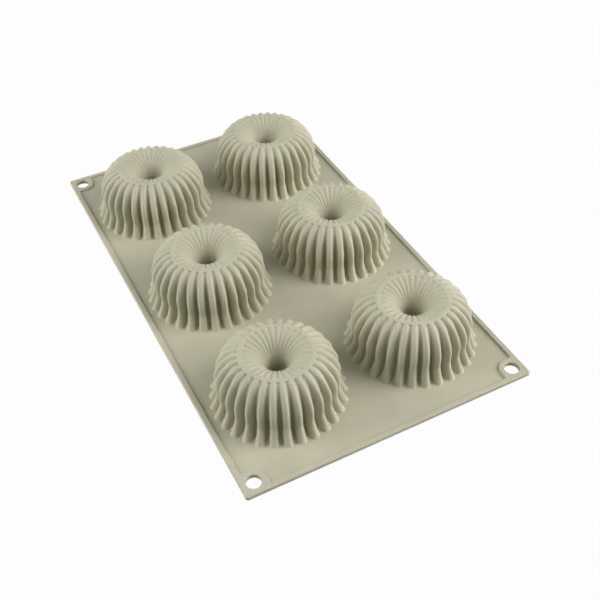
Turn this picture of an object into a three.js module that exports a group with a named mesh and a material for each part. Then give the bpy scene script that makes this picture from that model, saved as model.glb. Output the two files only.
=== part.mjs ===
// Silicone baking mould with fluted ring cups, upside down: the cups point up and their mouths face down.
// Millimetres, +Z up, +X across the short side, +Y along the long side, origin under the sheet's centre.

import * as THREE from 'three';

// Cup outside: a flared foot, a waist, and a bell that bulges over it and rises to a narrow smooth crown
const FOOT_R = 38.4;
const FOOT_FLARE = 4.4;
const FLARE_POWER = 1.8;
const WAIST_RISE = 10.0;
const BULGE = 0.75;
const BULGE_RISE = 6.2;
const BELL_RISE = 17.0;
const BELL_POWER = 1.75;
const CROWN_R = 21.0;
const CROWN_BAND = 2.2;

// Flutes round the cup, shallower over the shoulder and at the crown's lip
const RIBS = 30;
const CREST_ANGLE = 0;
const FLUTE_DEPTH = 3.4;
const SHOULDER_FLUTE_DEPTH = 1.4;
const LIP_FLUTE_DEPTH = 1.1;
const LIP_DROP = 0.2;

// Flutes on the cavity's side of the wall, which run out under its roof
const CAVITY_FLUTE_DEPTH = 2.8;
const CAVITY_FLUTE_RUNOUT = 12;

// Centre core: a lightly fluted trumpet that narrows to a throat, then a closed post
const THROAT_R = 5.3;
const THROAT_DROP = 16;
const PIT_FLUTE_DEPTH = 0.7;
const CORE_DRAFT = 0.03;
const CORE_TIP_RISE = 2;
const CORE_TIP_ROUND = 1.5;

// Silicone walls, and the depth of the crown cap below the cavity's roof
const WALL = 2.0;
const CROWN_SEAT = 1.0;

// Sheet: a thin web inside a raised rim
const WEB_T = 1.8;
const RIM_RISE = 1.2;
const RIM_W = 3.1;
const CUP_GAP_X = 8.4;
const CUP_GAP_Y = 18.5;
const SIDE_MARGIN = 6.5;
const END_MARGIN = 16.3;
const FOOT_MARGIN = 1.0;

// Corner eyelets
const EYELET_INSET = 7.5;
const EYELET_HOLE_R = 4.2;
const EYELET_WALL = 3.1;
const CORNER_R = 1.5;

// Facets, with ring heights as shares of the way between two ends
const HOLE_SIDES = 20;
const ARC_STEPS = 6;
const FLARE_SHARES = [0, 0.3, 0.6, 1];
const BELL_SHARES = [0, 0.35, 0.65, 0.86, 1];
const CAVITY_BELL_SHARES = [0, 0.3, 0.6, 1];
const CAVITY_FLARE_SHARES = [0, 0.5, 1];
const TRUMPET_SHARES = [0, 0.35, 0.7, 1];
const SHOULDER_SHARE = 0.65;
const SLOPE_STEP = 0.01;

// Finish
const SILICONE_COLOUR = 0xc4beaa;
const SILICONE_ROUGHNESS = 0.55;

// Worked-out places
const rimTop = WEB_T + RIM_RISE;
const waistZ = WEB_T + WAIST_RISE;
const bellZ = waistZ + BULGE_RISE;
const crownZ = bellZ + BELL_RISE;
const seatZ = crownZ - WALL - CROWN_SEAT;
const throatZ = crownZ - THROAT_DROP;
const tipZ = WEB_T + CORE_TIP_RISE;
const crownInnerR = CROWN_R - CROWN_BAND;
const columnPitch = 2 * FOOT_R + CUP_GAP_X;
const rowPitch = 2 * FOOT_R + CUP_GAP_Y;
const halfWidth = columnPitch / 2 + FOOT_R + SIDE_MARGIN;
const halfLength = rowPitch + FOOT_R + END_MARGIN;
const middleEdge = FOOT_R + FOOT_MARGIN;
const endEdge = rowPitch - middleEdge;
const webHalfWidth = halfWidth - RIM_W;
const webHalfLength = halfLength - RIM_W;
const eyeletX = halfWidth - EYELET_INSET;
const eyeletY = halfLength - EYELET_INSET;
const padR = EYELET_HOLE_R + EYELET_WALL;
const padX = eyeletX - padR;
const padY = eyeletY - padR;

const COLUMNS = [{ name: 'left', side: -1 }, { name: 'right', side: 1 }];
const ROWS = [{ name: 'front', place: -1 }, { name: 'middle', place: 0 }, { name: 'back', place: 1 }];
const ENDS = ROWS.filter((row) => row.place !== 0);

const mould = new THREE.Group();

function addPiece(name, geometry, x = 0, y = 0) {
  const silicone = new THREE.MeshStandardMaterial({
    color: SILICONE_COLOUR,
    roughness: SILICONE_ROUGHNESS,
    metalness: 0,
  });
  const mesh = new THREE.Mesh(geometry, silicone);
  mesh.name = name;
  mesh.position.set(x, y, 0);
  mould.add(mesh);
}

// Radius of the rib crests at a height, for the outside or for a surface inset into the wall
function bellRadius(z, inset) {
  const waistR = FOOT_R - FOOT_FLARE - inset;
  if (z < waistZ) {
    return waistR + FOOT_FLARE * ((waistZ - z) / WAIST_RISE) ** FLARE_POWER;
  }
  if (z < bellZ) {
    return waistR + BULGE * THREE.MathUtils.smoothstep(z, waistZ, bellZ);
  }
  const rise = (z - bellZ) / (BELL_RISE - inset);
  return CROWN_R + (waistR + BULGE - CROWN_R) * (1 - rise ** BELL_POWER) ** (1 / BELL_POWER);
}

function cavityFluteDepth(z) {
  return CAVITY_FLUTE_DEPTH * Math.sqrt(Math.min(1, (crownZ - z) / CAVITY_FLUTE_RUNOUT));
}

// Radius of the core's pit at a height, or of its cavity side where the wall is counted in
function coreRadius(z, wall) {
  const throat = THROAT_R + wall;
  if (z < throatZ) {
    return throat - CORE_DRAFT * (throatZ - z);
  }
  const rise = (z - throatZ) / (THROAT_DROP - wall);
  return crownInnerR - (crownInnerR - throat) * Math.sqrt(1 - rise ** 2);
}

// The pit's flutes fade into the throat
function pitFluteDepth(z) {
  const fall = Math.min(1, (crownZ - z) / THROAT_DROP);
  return PIT_FLUTE_DEPTH * Math.sin(Math.PI * Math.sqrt(fall));
}

// Points round a cup's axis, a rib crest and a groove in turn, each given by its radius and height
function fluted(crest, groove) {
  return Array.from({ length: 2 * RIBS }, (_, i) => {
    const angle = CREST_ANGLE + (Math.PI * i) / RIBS;
    const { x: radius, y: z } = i % 2 === 0 ? crest : groove;
    return new THREE.Vector3(radius * Math.cos(angle), radius * Math.sin(angle), z);
  });
}

function levelRing(crestR, grooveR, z) {
  return fluted(new THREE.Vector2(crestR, z), new THREE.Vector2(grooveR, z));
}

// A smooth ring, with one point at each rib crest
function ring(radius, z) {
  return levelRing(radius, radius, z).filter((_, i) => i % 2 === 0);
}

function wallRing(z) {
  const crestR = bellRadius(z, 0);
  return levelRing(crestR, crestR - FLUTE_DEPTH, z);
}

function cavityRing(z) {
  const crestR = bellRadius(z, WALL);
  return levelRing(crestR, crestR - cavityFluteDepth(z), z);
}

function pitRing(z) {
  const crestR = coreRadius(z, 0);
  return levelRing(crestR, crestR + pitFluteDepth(z), z);
}

// A ring near the crown, with its grooves sunk square to the surface
function sunkRing(radiusAt, z, depth) {
  const crest = new THREE.Vector2(radiusAt(z), z);
  const uphill = new THREE.Vector2(radiusAt(z + SLOPE_STEP), z + SLOPE_STEP).sub(crest).normalize();
  const inwards = new THREE.Vector2(Math.sign(uphill.x) * uphill.y, -Math.abs(uphill.x));
  return fluted(crest, crest.clone().addScaledVector(inwards, depth));
}

function pole(z) {
  return [new THREE.Vector3(0, 0, z)];
}

// Triangles between two rings, which may have different numbers of points
function bridge(faces, lower, upper) {
  const steps = Math.max(lower.length, upper.length);
  const at = (loop, i) => loop[Math.floor((i * loop.length) / steps) % loop.length];
  for (let i = 0; i < steps; i++) {
    const [a, b] = [at(lower, i), at(lower, i + 1)];
    const [c, d] = [at(upper, i), at(upper, i + 1)];
    if (a !== b) faces.push(a, b, d);
    if (c !== d) faces.push(a, d, c);
  }
}

// A closed skin over rings that follow its section: up its outer side and down its inner side
function skin(rings, { endless }) {
  const points = rings.flat();
  const indices = new Map(points.map((point, i) => [point, i]));
  const loops = rings.map((loop) => loop.map((point) => indices.get(point)));
  const faces = [];
  for (let k = 0; k + 1 < loops.length; k++) {
    bridge(faces, loops[k], loops[k + 1]);
  }
  if (endless) bridge(faces, loops.at(-1), loops[0]);
  const geometry = new THREE.BufferGeometry().setFromPoints(points);
  geometry.setIndex(faces);
  return geometry;
}

// Heights between two ends, as shares of the way from the first to the second
function heights(from, to, shares) {
  return shares.map((share) => THREE.MathUtils.lerp(from, to, share));
}

function wallGeometry() {
  const outside = [...heights(WEB_T, waistZ, FLARE_SHARES), ...heights(bellZ, seatZ, BELL_SHARES)];
  const inside = [
    ...heights(seatZ, bellZ, CAVITY_BELL_SHARES),
    ...heights(waistZ, WEB_T, CAVITY_FLARE_SHARES),
  ];
  return skin([...outside.map(wallRing), ...inside.map(cavityRing)], { endless: true });
}

function crownGeometry() {
  const roofZ = crownZ - WALL;
  const lipZ = crownZ - LIP_DROP;
  const shoulderZ = THREE.MathUtils.lerp(seatZ, crownZ, SHOULDER_SHARE);
  const wallTopR = bellRadius(seatZ, WALL) - cavityFluteDepth(seatZ);
  const coreTopR = coreRadius(seatZ, WALL);
  const bellSide = (z) => bellRadius(z, 0);
  const pitSide = (z) => coreRadius(z, 0);
  return skin([
    wallRing(seatZ),
    sunkRing(bellSide, shoulderZ, SHOULDER_FLUTE_DEPTH),
    sunkRing(bellSide, lipZ, LIP_FLUTE_DEPTH),
    ring(CROWN_R, crownZ),
    ring(crownInnerR, crownZ),
    sunkRing(pitSide, lipZ, PIT_FLUTE_DEPTH),
    sunkRing(pitSide, shoulderZ, PIT_FLUTE_DEPTH),
    pitRing(seatZ),
    ring(coreTopR, seatZ),
    ring((coreTopR + wallTopR) / 2, roofZ),
    ring(wallTopR, seatZ),
  ], { endless: true });
}

function coreGeometry() {
  const floorZ = tipZ + WALL;
  const trumpet = heights(throatZ, seatZ, TRUMPET_SHARES);
  const cavitySide = [tipZ + CORE_TIP_ROUND, ...trumpet];
  return skin([
    pole(tipZ),
    ring(coreRadius(tipZ, WALL) - CORE_TIP_ROUND, tipZ),
    ...cavitySide.map((z) => ring(coreRadius(z, WALL), z)),
    ...trumpet.toReversed().map(pitRing),
    ring(coreRadius(floorZ, 0), floorZ),
    pole(floorZ),
  ], { endless: false });
}

// A flat piece of the sheet, standing on the underside's plane
function plate(outline, height, holes = []) {
  const mirrored = THREE.ShapeUtils.isClockWise(outline);
  const shape = new THREE.Shape(mirrored ? outline.toReversed() : outline);
  shape.holes = holes.map((hole) => new THREE.Path(hole));
  return new THREE.ExtrudeGeometry(shape, { depth: height, bevelEnabled: false });
}

function rectangle(x0, x1, y0, y1) {
  return [[x0, y0], [x1, y0], [x1, y1], [x0, y1]].map(([x, y]) => new THREE.Vector2(x, y));
}

function arc(x, y, radius, startAngle, endAngle, steps) {
  return Array.from({ length: steps + 1 }, (_, i) => {
    const angle = THREE.MathUtils.lerp(startAngle, endAngle, i / steps);
    return new THREE.Vector2(x + radius * Math.cos(angle), y + radius * Math.sin(angle));
  });
}

// Points of the back right corner, mirrored to another corner
function atCorner(points, side, end) {
  return points.map((point) => new THREE.Vector2(side * point.x, end * point.y));
}

// Inner edge of an eyelet's pad, from the sheet's end to its long side
function padEdge() {
  return arc(eyeletX, eyeletY, padR, Math.PI, 1.5 * Math.PI, ARC_STEPS);
}

function eyeletGeometry(side, end) {
  const corner = arc(halfWidth - CORNER_R, halfLength - CORNER_R, CORNER_R, 0, Math.PI / 2, ARC_STEPS);
  const outline = [
    new THREE.Vector2(halfWidth, padY),
    ...corner,
    new THREE.Vector2(padX, halfLength),
    ...padEdge(),
  ];
  const hole = arc(eyeletX, eyeletY, EYELET_HOLE_R, 0, 2 * Math.PI, HOLE_SIDES).slice(0, -1);
  return plate(atCorner(outline, side, end), rimTop, [atCorner(hole, side, end)]);
}

// Web of one row, with the cups' mouths cut through it
function webGeometry(place) {
  const mouth = cavityRing(WEB_T);
  const mouths = COLUMNS.map(({ side }) => mouth.map((point) => new THREE.Vector2(
    side * columnPitch / 2 + point.x,
    place * rowPitch + point.y,
  )));
  if (place === 0) {
    return plate(rectangle(-webHalfWidth, webHalfWidth, -middleEdge, middleEdge), WEB_T, mouths);
  }
  const halfEdge = [
    new THREE.Vector2(padX, webHalfLength),
    ...padEdge(),
    new THREE.Vector2(webHalfWidth, padY),
    new THREE.Vector2(webHalfWidth, endEdge),
  ];
  const outline = [...atCorner(halfEdge, -1, place).reverse(), ...atCorner(halfEdge, 1, place)];
  return plate(outline, WEB_T, mouths);
}

// Bending strip between two rows, with the rim's section at both ends
function flexGeometry(place) {
  const section = [
    [-halfWidth, 0], [halfWidth, 0], [halfWidth, rimTop], [webHalfWidth, rimTop],
    [webHalfWidth, WEB_T], [-webHalfWidth, WEB_T], [-webHalfWidth, rimTop], [-halfWidth, rimTop],
  ].map(([x, y]) => new THREE.Vector2(x, y));
  const strip = plate(section, endEdge - middleEdge);
  strip.rotateX(Math.PI / 2);
  return strip.translate(0, place > 0 ? endEdge : -middleEdge, 0);
}

function railGeometry(side, place) {
  const [innerX, outerX] = [side * webHalfWidth, side * halfWidth];
  if (place === 0) {
    return plate(rectangle(innerX, outerX, -middleEdge, middleEdge), rimTop);
  }
  return plate(rectangle(innerX, outerX, place * endEdge, place * padY), rimTop);
}

function endBarGeometry(place) {
  return plate(rectangle(-padX, padX, place * webHalfLength, place * halfLength), rimTop);
}

for (const row of ROWS) {
  addPiece(`web_${row.name}`, webGeometry(row.place));
  for (const column of COLUMNS) {
    const cup = `${row.name}_${column.name}`;
    const x = column.side * columnPitch / 2;
    const y = row.place * rowPitch;
    addPiece(`rim_${cup}`, railGeometry(column.side, row.place));
    addPiece(`cup_wall_${cup}`, wallGeometry(), x, y);
    addPiece(`cup_crown_${cup}`, crownGeometry(), x, y);
    addPiece(`cup_core_${cup}`, coreGeometry(), x, y);
  }
}

for (const end of ENDS) {
  addPiece(`flex_strip_${end.name}`, flexGeometry(end.place));
  addPiece(`rim_${end.name}`, endBarGeometry(end.place));
  for (const column of COLUMNS) {
    addPiece(`eyelet_${end.name}_${column.name}`, eyeletGeometry(column.side, end.place));
  }
}

export default mould;
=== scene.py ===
import math

import bmesh
import bpy
import numpy as np
from mathutils import Matrix, Vector


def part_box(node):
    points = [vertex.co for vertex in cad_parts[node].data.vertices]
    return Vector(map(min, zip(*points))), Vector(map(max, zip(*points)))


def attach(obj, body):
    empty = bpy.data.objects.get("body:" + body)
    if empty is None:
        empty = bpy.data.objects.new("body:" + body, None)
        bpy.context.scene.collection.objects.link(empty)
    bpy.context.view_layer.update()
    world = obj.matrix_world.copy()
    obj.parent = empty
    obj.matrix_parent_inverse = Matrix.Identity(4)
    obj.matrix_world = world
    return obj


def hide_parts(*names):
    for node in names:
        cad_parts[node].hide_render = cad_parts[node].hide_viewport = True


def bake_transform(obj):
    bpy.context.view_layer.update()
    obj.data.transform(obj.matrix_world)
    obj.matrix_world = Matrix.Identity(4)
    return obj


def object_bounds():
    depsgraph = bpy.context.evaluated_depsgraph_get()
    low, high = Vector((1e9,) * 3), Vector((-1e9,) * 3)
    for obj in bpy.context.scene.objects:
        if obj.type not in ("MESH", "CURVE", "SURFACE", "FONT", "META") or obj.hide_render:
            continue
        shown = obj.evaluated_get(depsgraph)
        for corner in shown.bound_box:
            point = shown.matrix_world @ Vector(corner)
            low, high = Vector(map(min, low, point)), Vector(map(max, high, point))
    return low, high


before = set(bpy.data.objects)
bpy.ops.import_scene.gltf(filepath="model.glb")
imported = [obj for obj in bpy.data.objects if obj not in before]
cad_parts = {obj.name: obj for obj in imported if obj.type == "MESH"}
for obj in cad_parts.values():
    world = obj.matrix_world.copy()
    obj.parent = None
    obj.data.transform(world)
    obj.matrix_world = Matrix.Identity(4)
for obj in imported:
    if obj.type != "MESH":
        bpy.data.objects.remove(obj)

# A silicone baking mould upside down: a thin sheet with a raised rim, and six fluted ring cups on it.
# Metres, in the frame of the solids: +X across the sheet, +Y along it, +Z up through the cups.
MM = 0.001
ROWS = ("front", "middle", "back")
SIDES = ("left", "right")

# Places taken from the solids
cad_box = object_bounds()
half_width, half_length, crown_z = cad_box[1]
web_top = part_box("web_back")[1].z
web_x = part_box("web_back")[1].x
web_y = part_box("web_back")[1].y
rim_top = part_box("rim_back")[1].z
pad_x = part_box("eyelet_back_right")[0].x
strip_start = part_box("flex_strip_back")[0].y
strip_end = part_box("flex_strip_back")[1].y

# Cup section
FOOT_R = 38.4 * MM
FOOT_FLARE = 4.1 * MM
FLARE_POWER = 1.2
WAIST_RISE = 10.0 * MM
BULGE = 0.15 * MM
BULGE_RISE = 6.2 * MM
BELL_POWER = 1.75
CROWN_R = 21.0 * MM
CROWN_BAND = 2.2 * MM
THROAT_R = 5.3 * MM
THROAT_DROP = 16.0 * MM
PIT_DRAFT = 0.03
PIT_FLOOR_RISE = 4.0 * MM
PIT_ROUND = 1.2 * MM
WALL = 2.0 * MM
FOOT_FILLET = 0.5 * MM
MOUTH_ROUND = 0.6 * MM

# Flutes, with widths as shares of the distance between two ribs
RIBS = 30
RIB_ROUNDNESS_AT_CROWN = 0.8
RIB_ROUNDNESS_AT_FOOT = 0.45
GROOVE_AT_CROWN = 1.2 * MM
GROOVE_ON_WALL = 5.2 * MM
GROOVE_AT_FOOT = 3.3 * MM
GROOVE_START = 0.6 * MM
GROOVE_GROWTH = 25.0 * MM
GROOVE_RUNOUT = 1.8 * MM
GROOVE_FLOOR = 0.12
PIT_ROUNDNESS = 1.0
PIT_GROOVE = 0.75 * MM
PIT_GROOVE_FADE = 23.0 * MM
PIT_GROOVE_FLOOR = 0.1
CAVITY_GROOVE_SHARE = 0.85
CAVITY_FLOOR_EXTRA = 0.12

# Sheet edges
CORNER_R = 1.5 * MM
EYELET_R = 4.2 * MM
EYELET_INSET = 7.5 * MM
TOP_ROUND = 0.6 * MM
UNDER_ROUND = 0.8 * MM
STEP_ROUND = 0.4 * MM
STEP_FILLET = 0.5 * MM
STEP_CORNER_R = 1.2 * MM

# Mesh fineness
RIB_STEPS = 5
GAP_STEPS = 2
BELL_ROWS = 56
TRUMPET_ROWS = 28
POST_ROWS = 6
BAND_ROWS = 6
ROW_CROWDING = 1.4
CURVE_POINTS = 600
EDGE_STEPS = 4
ARC_STEPS = 8
EYELET_STEPS = 64
STRIP_SLICES = 22
LEVEL_COSINE = 0.99999
CUT_TOLERANCE = 0.001 * MM

# Camera, solved from the photograph's 600 x 600 pixels
PHOTO_SIZE = 600
PHOTO_FOCAL = 897.47
CAMERA_AZIMUTH = math.radians(-25.987)
CAMERA_ELEVATION = math.radians(44.095)
CAMERA_ROLL = math.radians(-1.899)
CAMERA_DISTANCE = 550.77 * MM
CAMERA_TARGET = Vector((2.25, -34.07, 0.0)) * MM
SENSOR_WIDTH = 36.0
CLIP_START = 0.01

# Silicone's look: two tones, roughness from smooth to dull, noise scales per metre, and bump heights
TONE_DARK = (0.465, 0.449, 0.325, 1)
TONE_LIGHT = (0.513, 0.496, 0.361, 1)
TONE_START, TONE_END = 0.3, 0.7
SPECULAR = 0.25
SHEEN = 0.03
SHEEN_ROUGHNESS = 0.45
ROUGHNESS_LOW, ROUGHNESS_HIGH = 0.46, 0.6
TONE_SCALE, GLOSS_SCALE, WAVE_SCALE, GRAIN_SCALE = 45, 120, 60, 2600
BUMP_STRENGTH = 0.12
WAVE_HEIGHT = 0.4 * MM
GRAIN_HEIGHT = 0.05 * MM

# Studio: a pale floor just under the sheet, faint ambient light and square soft boxes in watts
FLOOR_DROP = 0.3 * MM
FLOOR_SIZE = 8.0
FLOOR_COLOUR = (0.25, 0.25, 0.25, 1)
FLOOR_ROUGHNESS = 0.9
FLOOR_WHITENESS = 0.975
AMBIENT = 0.09
LAMP_SIZE = 0.9
PLAIN = (1, 1, 1)
COOL = (0.93, 0.91, 1.0)
LAMPS = (
    ("left_low", (-1.26, 0.38, 0.48), 13.0, PLAIN),
    ("left_high", (-0.90, 0.00, 1.07), 4.4, COOL),
    ("back_left", (-0.66, 1.14, 0.48), 3.0, PLAIN),
    ("right_low", (1.14, -0.66, 0.48), 15.5, PLAIN),
    ("right_high", (0.78, -0.45, 1.07), 9.4, COOL),
)

waist_z = web_top + WAIST_RISE
waist_r = FOOT_R - FOOT_FLARE
bell_z = waist_z + BULGE_RISE
bell_r = waist_r + BULGE
throat_z = crown_z - THROAT_DROP
pit_floor_z = web_top + PIT_FLOOR_RISE
band_inner_r = CROWN_R - CROWN_BAND


def smooth(share):
    share = np.clip(share, 0, 1)
    return share * share * (3 - 2 * share)


def steep_start(share):
    share = np.clip(share, 0, 1)
    return np.sqrt(1 - (1 - share) ** 2)


def quarter_turn():
    return np.linspace(0, math.pi / 2, EDGE_STEPS + 1)


def distances(points):
    """Distance of each point from the first, along the curve."""
    steps = np.linalg.norm(np.diff(points, axis=0), axis=1)
    return np.concatenate(([0], np.cumsum(steps)))


def spread(points, shares):
    """Points of a curve at shares of its length."""
    along = distances(points)
    return np.column_stack([np.interp(shares * along[-1], along, points[:, k]) for k in (0, 1)])


def outward_of(points):
    """Directions from the silicone to the air, along a section that runs outwards over the crown."""
    tangent = np.gradient(points, distances(points), axis=0)
    tangent /= np.linalg.norm(tangent, axis=1, keepdims=True)
    return np.column_stack((-tangent[:, 1], tangent[:, 0]))


class Skin:
    """Rows of a cup's surface: rib crests as radius and height, and grooves sunk between them."""

    def __init__(self, points, outward, depth, floor, roundness, inset=0.0):
        count = len(points)
        self.points = points
        self.outward = np.broadcast_to(outward, (count, 2))
        self.depth = np.broadcast_to(depth, count)
        self.floor = np.broadcast_to(floor, count)
        self.roundness = np.broadcast_to(roundness, count)
        self.inset = inset

    def inside(self):
        """The cavity's side of the same wall, in coarser rows and the other way round."""
        rows = slice(None, None, -2)
        depth = CAVITY_GROOVE_SHARE * self.depth[rows]
        floor = CAVITY_FLOOR_EXTRA + self.floor[rows]
        return Skin(self.points[rows], self.outward[rows], depth, floor, self.roundness[rows], WALL)

    def around(self):
        """Points round the cup's axis, by row and column."""
        rib = np.sin(np.linspace(0, np.pi / 2, RIB_STEPS + 1))
        gap = np.linspace(0, 1, GAP_STEPS + 1)[1:]
        floor, roundness = self.floor[:, None], self.roundness[:, None]
        from_crest = np.hstack(((0.5 - floor) * rib, 0.5 - floor + floor * gap))
        groove = np.hstack((1 - (1 - rib ** 2) ** roundness, np.ones((len(floor), GAP_STEPS))))
        across = np.hstack((-from_crest[:, :0:-1], from_crest[:, :-1]))
        groove = np.hstack((groove[:, :0:-1], groove[:, :-1]))
        ribs = np.arange(RIBS)[:, None] + across[:, None, :]
        angles = 2 * np.pi * ribs.reshape(len(ribs), -1) / RIBS
        sunk = self.inset + self.depth[:, None] * np.tile(groove, RIBS)
        radius = self.points[:, :1] - self.outward[:, :1] * sunk
        height = self.points[:, 1:] - self.outward[:, 1:] * sunk
        return np.stack((radius * np.cos(angles), radius * np.sin(angles), height), axis=-1)


def flare_radius(z):
    return waist_r + FOOT_FLARE * ((waist_z - z) / WAIST_RISE) ** FLARE_POWER


def pit_skin():
    """The centre pit: a rounded floor, a post with a little draft and a trumpet up to the crown."""
    post_foot_r = THROAT_R - PIT_DRAFT * (throat_z - pit_floor_z)
    turn = quarter_turn()
    floor = np.column_stack((
        post_foot_r - PIT_ROUND * (1 - np.sin(turn)),
        pit_floor_z + PIT_ROUND * (1 - np.cos(turn)),
    ))
    angle = np.linspace(0, math.pi / 2, CURVE_POINTS)
    trumpet = np.column_stack((
        band_inner_r - (band_inner_r - THROAT_R) * np.cos(angle),
        throat_z + THROAT_DROP * np.sin(angle),
    ))
    trumpet = spread(trumpet, 1 - np.linspace(1, 0, TRUMPET_ROWS) ** ROW_CROWDING)
    post = np.linspace(floor[-1], trumpet[0], POST_ROWS)[1:-1]
    points = np.vstack((floor, post, trumpet))
    below_lip = distances(points[::-1])[::-1]
    fading = 1 - smooth(below_lip / PIT_GROOVE_FADE)
    depth = PIT_GROOVE * steep_start(below_lip / GROOVE_START) * fading
    return Skin(points, outward_of(points), depth, PIT_GROOVE_FLOOR, PIT_ROUNDNESS)


def band_skin():
    points = np.linspace((band_inner_r, crown_z), (CROWN_R, crown_z), BAND_ROWS)[1:-1]
    return Skin(points, (0, 1), 0, GROOVE_FLOOR, RIB_ROUNDNESS_AT_CROWN)


def bell_skin():
    """The ribs, from the crown's band down the bell, in to the waist and out to the foot."""
    angle = np.linspace(math.pi / 2, 0, CURVE_POINTS)
    bell = np.column_stack((
        CROWN_R + (bell_r - CROWN_R) * np.cos(angle) ** (2 / BELL_POWER),
        bell_z + (crown_z - bell_z) * np.sin(angle) ** (2 / BELL_POWER),
    ))
    bulge_z = np.linspace(bell_z, waist_z, CURVE_POINTS)[1:]
    bulge = np.column_stack((waist_r + BULGE * smooth((bulge_z - waist_z) / BULGE_RISE), bulge_z))
    flare_z = np.linspace(waist_z, web_top + FOOT_FILLET, CURVE_POINTS)[1:]
    flare = np.column_stack((flare_radius(flare_z), flare_z))
    points = spread(np.vstack((bell, bulge, flare)), np.linspace(0, 1, BELL_ROWS) ** ROW_CROWDING)
    outward = outward_of(points)
    outward[points[:, 1] < bell_z] = (1, 0)
    down = distances(points)
    wall_depth = GROOVE_AT_CROWN + (GROOVE_ON_WALL - GROOVE_AT_CROWN) * smooth(down / GROOVE_GROWTH)
    above_foot = (points[:, 1] - points[-1, 1]) / GROOVE_RUNOUT
    depth = GROOVE_AT_FOOT + (wall_depth - GROOVE_AT_FOOT) * steep_start(above_foot)
    change = RIB_ROUNDNESS_AT_FOOT - RIB_ROUNDNESS_AT_CROWN
    roundness = RIB_ROUNDNESS_AT_CROWN + change * smooth(down / down[-1])
    return Skin(points, outward, depth * steep_start(down / GROOVE_START), GROOVE_FLOOR, roundness)


def foot_skin(base_z, radius):
    """A rounding that turns the ribs out onto a level of the sheet."""
    turn = quarter_turn()
    z = base_z + radius * (1 - np.sin(turn))
    points = np.column_stack((flare_radius(z) + radius * (1 - np.cos(turn)), z))
    return Skin(points, (1, 0), GROOVE_AT_FOOT, GROOVE_FLOOR, RIB_ROUNDNESS_AT_FOOT)


def cup_grid():
    """Points of a closed cup by row and column, and the row where it meets the sheet's top."""
    pit, band, bell = pit_skin(), band_skin(), bell_skin()
    foot = foot_skin(web_top, FOOT_FILLET)
    outside = [pit.around(), band.around(), bell.around(), foot.around()[1:]]
    inside = [skin.inside().around() for skin in (foot_skin(0, MOUTH_ROUND), bell, band, pit)]
    foot_row = sum(map(len, outside)) - 1
    return np.concatenate(outside + inside), foot_row


def cup_faces(rows, columns):
    """Faces of a grid closed round the axis, with a point on the axis before and after its rows."""
    index = 1 + np.arange(rows * columns).reshape(rows, columns)
    beside = np.roll(index, -1, axis=1)
    quads = np.stack((index[:-1], index[1:], beside[1:], beside[:-1]), axis=-1).reshape(-1, 4)
    last = rows * columns + 1
    start = [(0, a, b) for a, b in zip(index[0].tolist(), beside[0].tolist())]
    end = [(a, last, b) for a, b in zip(index[-1].tolist(), beside[-1].tolist())]
    return start + quads.tolist() + end


def add_object(name, mesh, material):
    piece = bpy.data.objects.new(name, mesh)
    bpy.context.scene.collection.objects.link(piece)
    mesh.materials.append(material)
    return piece


def add_cup(row, side, grid, foot_row, material):
    """One cup with its core, shaded sharp only where it meets the sheet."""
    name = f"{row}_{side}"
    low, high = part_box(f"cup_crown_{name}")
    centre = np.array(((low.x + high.x) / 2, (low.y + high.y) / 2, 0))
    rows, columns, _ = grid.shape
    start, end = (0, 0, pit_floor_z), (0, 0, pit_floor_z - WALL)
    points = np.concatenate(([start], grid.reshape(-1, 3), [end])) + centre
    mesh = bpy.data.meshes.new(f"cup_{name}")
    mesh.from_pydata(points.tolist(), [], cup_faces(rows, columns))
    mesh.shade_smooth()
    ends = np.empty(2 * len(mesh.edges), dtype=np.int32)
    mesh.edges.foreach_get("vertices", ends)
    edge_rows = (ends.reshape(-1, 2) - 1) // columns
    along_row = edge_rows[:, 0] == edge_rows[:, 1]
    sharp = along_row & np.isin(edge_rows[:, 0], (foot_row, foot_row + 1))
    mesh.attributes.new("sharp_edge", "BOOLEAN", "EDGE").data.foreach_set("value", sharp)
    cup = add_object(f"cup_{name}", mesh, material)
    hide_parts(f"cup_wall_{name}", f"cup_crown_{name}", f"cup_core_{name}")
    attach(cup, f"{row}_row")


def arc(x, y, radius, start, end):
    angle = np.radians(np.linspace(start, end, ARC_STEPS + 1))
    return np.column_stack((x + radius * np.cos(angle), y + radius * np.sin(angle)))


def mirrored(quarter):
    """A whole outline from its back right quarter, anticlockwise."""
    flip_x, flip_y = np.array((-1, 1)), np.array((1, -1))
    return np.vstack((
        quarter,
        (quarter * flip_x)[::-1],
        quarter * flip_x * flip_y,
        (quarter * flip_y)[::-1],
    ))


def outer_outline(inset):
    return mirrored(arc(half_width - CORNER_R, half_length - CORNER_R, CORNER_R - inset, 0, 90))


def web_outline(inset):
    """The rim's inner edge, which passes round the eyelets' pads."""
    eyelet_x, eyelet_y = half_width - EYELET_INSET, half_length - EYELET_INSET
    pad_r = eyelet_x - pad_x
    pad_y = eyelet_y - pad_r
    bend = STEP_CORNER_R
    return mirrored(np.vstack((
        arc(web_x - bend, pad_y - bend, bend - inset, 0, 90),
        arc(eyelet_x, eyelet_y, pad_r + inset, 270, 180),
        arc(pad_x - bend, web_y - bend, bend - inset, 0, 90),
    )))


def eyelet_outline(side, end, grown):
    angle = np.linspace(0, 2 * np.pi, EYELET_STEPS, endpoint=False)
    radius = EYELET_R + grown
    x = side * (half_width - EYELET_INSET) + radius * np.cos(angle)
    y = end * (half_length - EYELET_INSET) + radius * np.sin(angle)
    return np.column_stack((x, y))


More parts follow.
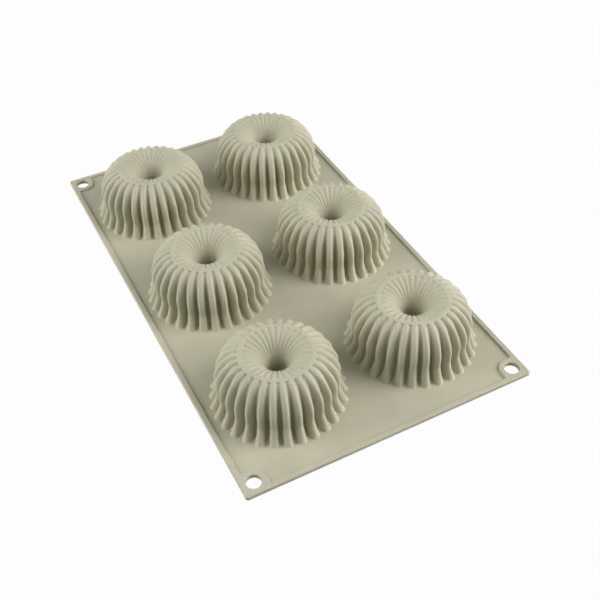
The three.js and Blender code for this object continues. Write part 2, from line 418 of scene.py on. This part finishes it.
def add_rings(bm, rings):
    """Bands of faces between rings of points, each with its height; returns the end rings' edges."""
    loops = []
    for outline, z in rings:
        loops.append([bm.verts.new((x, y, z)) for x, y in outline])
    for lower, upper in zip(loops, loops[1:]):
        for i, vertex in enumerate(lower):
            bm.faces.new((lower[i - 1], vertex, upper[i], upper[i - 1]))
    bm.edges.ensure_lookup_table()
    ends = (loops[0], loops[-1])
    return [[bm.edges.get((loop[i - 1], vertex)) for i, vertex in enumerate(loop)] for loop in ends]


def outer_rings():
    under, over = [], []
    for angle in quarter_turn():
        across, along = 1 - math.cos(angle), 1 - math.sin(angle)
        under.append((outer_outline(UNDER_ROUND * along), UNDER_ROUND * across))
        over.append((outer_outline(TOP_ROUND * across), rim_top - TOP_ROUND * along))
    return under + over


def step_rings():
    edge, fillet = [], []
    for angle in quarter_turn():
        across, along = 1 - math.cos(angle), 1 - math.sin(angle)
        edge.append((web_outline(-STEP_ROUND * along), rim_top - STEP_ROUND * across))
        fillet.append((web_outline(STEP_FILLET * across), web_top + STEP_FILLET * along))
    return edge + fillet


def eyelet_rings(side, end):
    turn = quarter_turn()
    grown = [(STEP_ROUND * (1 - math.sin(a)), STEP_ROUND * (1 - math.cos(a))) for a in turn]
    over = [(eyelet_outline(side, end, out), rim_top - down) for out, down in grown]
    under = [(eyelet_outline(side, end, out), down) for out, down in reversed(grown)]
    return over + under


def cup_hole_rings(grid, foot_row, centre):
    top, underside = grid[foot_row], grid[foot_row + 1]
    return [(ring[:, :2] + centre, ring[0, 2]) for ring in (top, underside)]


def whole_sheet(grid, foot_row):
    """The sheet in one closed mesh, with holes where the cups and eyelets are."""
    bm = bmesh.new()
    underside, rim_outer = add_rings(bm, outer_rings())
    rim_inner, web = add_rings(bm, step_rings())
    rim = rim_outer + rim_inner
    for side in (-1, 1):
        for end in (-1, 1):
            top, bottom = add_rings(bm, eyelet_rings(side, end))
            rim += top
            underside += bottom
    for row in ROWS:
        for side in SIDES:
            low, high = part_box(f"cup_crown_{row}_{side}")
            centre = ((low.x + high.x) / 2, (low.y + high.y) / 2)
            top, bottom = add_rings(bm, cup_hole_rings(grid, foot_row, centre))
            web += top
            underside += bottom
    for flat in (rim, web, underside):
        bmesh.ops.triangle_fill(bm, use_beauty=True, edges=flat)
    bmesh.ops.recalc_face_normals(bm, faces=bm.faces[:])
    for y in np.linspace(strip_start, strip_end, STRIP_SLICES + 1):
        for end in (-1, 1):
            slice_sheet(bm, end * y)
    return bm


def slice_sheet(bm, y, **cleared):
    geometry = bm.verts[:] + bm.edges[:] + bm.faces[:]
    made = bmesh.ops.bisect_plane(
        bm, geom=geometry, dist=CUT_TOLERANCE, plane_co=(0, y, 0), plane_no=(0, 1, 0), **cleared,
    )
    return [piece for piece in made["geom_cut"] if isinstance(piece, bmesh.types.BMEdge)]


def sheet_piece(name, sheet, low, high, material):
    """The part of the sheet between two places along Y, closed where it is cut."""
    bm = sheet.copy()
    if low is not None:
        bmesh.ops.edgeloop_fill(bm, edges=slice_sheet(bm, low, clear_inner=True))
    if high is not None:
        bmesh.ops.edgeloop_fill(bm, edges=slice_sheet(bm, high, clear_outer=True))
    bmesh.ops.recalc_face_normals(bm, faces=bm.faces[:])
    level = {face: max(map(abs, face.normal)) > LEVEL_COSINE for face in bm.faces}
    for face in bm.faces:
        face.smooth = True
    for edge in bm.edges:
        one, other = edge.link_faces
        same_plane = one.normal.dot(other.normal) > LEVEL_COSINE
        edge.smooth = same_plane or not (level[one] or level[other])
    mesh = bpy.data.meshes.new(name)
    bm.to_mesh(mesh)
    bm.free()
    return add_object(name, mesh, material)


def add_sheet(grid, foot_row, material):
    """Three pieces of the sheet, cut across Y where the flex strips start; the middle piece is
    attached to the middle row.
    """
    sheet = whole_sheet(grid, foot_row)
    middle = sheet_piece("middle_sheet", sheet, -strip_start, strip_start, material)
    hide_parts("web_middle", "rim_middle_left", "rim_middle_right")
    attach(middle, "middle_row")
    spans = {"front": (-1, None, -strip_start), "back": (1, strip_start, None)}
    for row, (end, low, high) in spans.items():
        piece = sheet_piece(f"{row}_sheet", sheet, low, high, material)
        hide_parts(f"web_{row}", f"rim_{row}", f"flex_strip_{row}")
        for side in SIDES:
            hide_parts(f"rim_{row}_{side}", f"eyelet_{row}_{side}")
        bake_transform(piece)
    sheet.free()


def silicone_material():
    """Satin greige silicone: faint mottling, uneven gloss and a fine moulded grain."""
    material = bpy.data.materials.new("satin_silicone")
    material.use_nodes = True
    nodes, links = material.node_tree.nodes, material.node_tree.links
    shader = nodes["Principled BSDF"]
    shader.inputs["Specular IOR Level"].default_value = SPECULAR
    shader.inputs["Sheen Weight"].default_value = SHEEN
    shader.inputs["Sheen Roughness"].default_value = SHEEN_ROUGHNESS
    place = nodes.new("ShaderNodeTexCoord").outputs["Object"]

    def noise(scale, detail):
        node = nodes.new("ShaderNodeTexNoise")
        node.inputs["Scale"].default_value = scale
        node.inputs["Detail"].default_value = detail
        links.new(place, node.inputs["Vector"])
        return node.outputs["Fac"]

    tones = nodes.new("ShaderNodeValToRGB")
    dark, light = tones.color_ramp.elements
    dark.position, dark.color = TONE_START, TONE_DARK
    light.position, light.color = TONE_END, TONE_LIGHT
    links.new(noise(TONE_SCALE, 4), tones.inputs["Fac"])
    links.new(tones.outputs["Color"], shader.inputs["Base Color"])

    gloss = nodes.new("ShaderNodeMapRange")
    gloss.inputs["To Min"].default_value = ROUGHNESS_LOW
    gloss.inputs["To Max"].default_value = ROUGHNESS_HIGH
    links.new(noise(GLOSS_SCALE, 3), gloss.inputs["Value"])
    links.new(gloss.outputs["Result"], shader.inputs["Roughness"])

    waves = nodes.new("ShaderNodeBump")
    waves.inputs["Strength"].default_value = BUMP_STRENGTH
    waves.inputs["Distance"].default_value = WAVE_HEIGHT
    links.new(noise(WAVE_SCALE, 2), waves.inputs["Height"])
    grain = nodes.new("ShaderNodeBump")
    grain.inputs["Strength"].default_value = BUMP_STRENGTH
    grain.inputs["Distance"].default_value = GRAIN_HEIGHT
    links.new(noise(GRAIN_SCALE, 2), grain.inputs["Height"])
    links.new(waves.outputs["Normal"], grain.inputs["Normal"])
    links.new(grain.outputs["Normal"], shader.inputs["Normal"])
    return material


def add_camera():
    azimuth, elevation = CAMERA_AZIMUTH, CAMERA_ELEVATION
    back = Vector((
        math.sin(azimuth) * math.cos(elevation),
        -math.cos(azimuth) * math.cos(elevation),
        math.sin(elevation),
    ))
    right = Vector((0, 0, 1)).cross(back).normalized()
    up = back.cross(right)
    level = Matrix((right, up, back)).transposed()
    data = bpy.data.cameras.new("camera")
    data.sensor_width = SENSOR_WIDTH
    data.lens = PHOTO_FOCAL * SENSOR_WIDTH / PHOTO_SIZE
    data.clip_start = CLIP_START
    camera = bpy.data.objects.new("camera", data)
    camera.matrix_world = (
        Matrix.Translation(CAMERA_TARGET + back * CAMERA_DISTANCE)
        @ (level @ Matrix.Rotation(CAMERA_ROLL, 3, "Z")).to_4x4()
    )
    bpy.context.scene.collection.objects.link(camera)
    bpy.context.scene.camera = camera


def add_lamp(name, place, power, colour):
    """A square soft box that faces the mould."""
    data = bpy.data.lights.new(name, "AREA")
    data.color = colour
    data.size = LAMP_SIZE
    data.energy = power
    lamp = bpy.data.objects.new(name, data)
    lamp.location = place
    lamp.rotation_euler = (-Vector(place)).to_track_quat("-Z", "Y").to_euler()
    bpy.context.scene.collection.objects.link(lamp)


def background_share(nodes, links):
    """1 for rays that should see the background itself, 0 for rays that carry light."""
    rays = nodes.new("ShaderNodeLightPath").outputs
    seen = nodes.new("ShaderNodeMath")
    seen.operation = "MAXIMUM"
    links.new(rays["Is Camera Ray"], seen.inputs[0])
    links.new(rays["Is Glossy Ray"], seen.inputs[1])
    through = nodes.new("ShaderNodeMath")
    through.operation = "MAXIMUM"
    links.new(seen.outputs[0], through.inputs[0])
    links.new(rays["Is Transmission Ray"], through.inputs[1])
    return through.outputs[0]


def add_floor():
    """A pale floor that shows white and keeps a faint shadow."""
    material = bpy.data.materials.new("white_floor")
    material.use_nodes = True
    nodes, links = material.node_tree.nodes, material.node_tree.links
    paper = nodes["Principled BSDF"]
    paper.inputs["Base Color"].default_value = FLOOR_COLOUR
    paper.inputs["Roughness"].default_value = FLOOR_ROUGHNESS
    glow = nodes.new("ShaderNodeEmission")
    glow.inputs["Strength"].default_value = 1.0
    share = nodes.new("ShaderNodeMath")
    share.operation = "MULTIPLY"
    share.inputs[1].default_value = FLOOR_WHITENESS
    links.new(background_share(nodes, links), share.inputs[0])
    mix = nodes.new("ShaderNodeMixShader")
    links.new(share.outputs[0], mix.inputs[0])
    links.new(paper.outputs["BSDF"], mix.inputs[1])
    links.new(glow.outputs["Emission"], mix.inputs[2])
    links.new(mix.outputs["Shader"], nodes["Material Output"].inputs["Surface"])

    half = FLOOR_SIZE / 2
    corners = [(-half, -half), (half, -half), (half, half), (-half, half)]
    mesh = bpy.data.meshes.new("floor")
    mesh.from_pydata([(x, y, -FLOOR_DROP) for x, y in corners], [], [(0, 1, 2, 3)])
    mesh.materials.append(material)
    floor = bpy.data.objects.new("floor", mesh)
    bpy.context.scene.collection.objects.link(floor)


def add_world():
    world = bpy.data.worlds.new("studio")
    world.use_nodes = True
    nodes, links = world.node_tree.nodes, world.node_tree.links
    ambient = nodes["Background"]
    ambient.inputs["Color"].default_value = (1, 1, 1, 1)
    ambient.inputs["Strength"].default_value = AMBIENT
    white = nodes.new("ShaderNodeBackground")
    white.inputs["Color"].default_value = (1, 1, 1, 1)
    mix = nodes.new("ShaderNodeMixShader")
    links.new(background_share(nodes, links), mix.inputs[0])
    links.new(ambient.outputs["Background"], mix.inputs[1])
    links.new(white.outputs["Background"], mix.inputs[2])
    links.new(mix.outputs["Shader"], nodes["World Output"].inputs["Surface"])
    bpy.context.scene.world = world


silicone = silicone_material()
grid, foot_row = cup_grid()
for row in ROWS:
    for side in SIDES:
        add_cup(row, side, grid, foot_row, silicone)
add_sheet(grid, foot_row, silicone)

add_camera()
add_floor()
add_world()
for lamp in LAMPS:
    add_lamp(*lamp)
bpy.context.scene.view_settings.view_transform = "Standard"
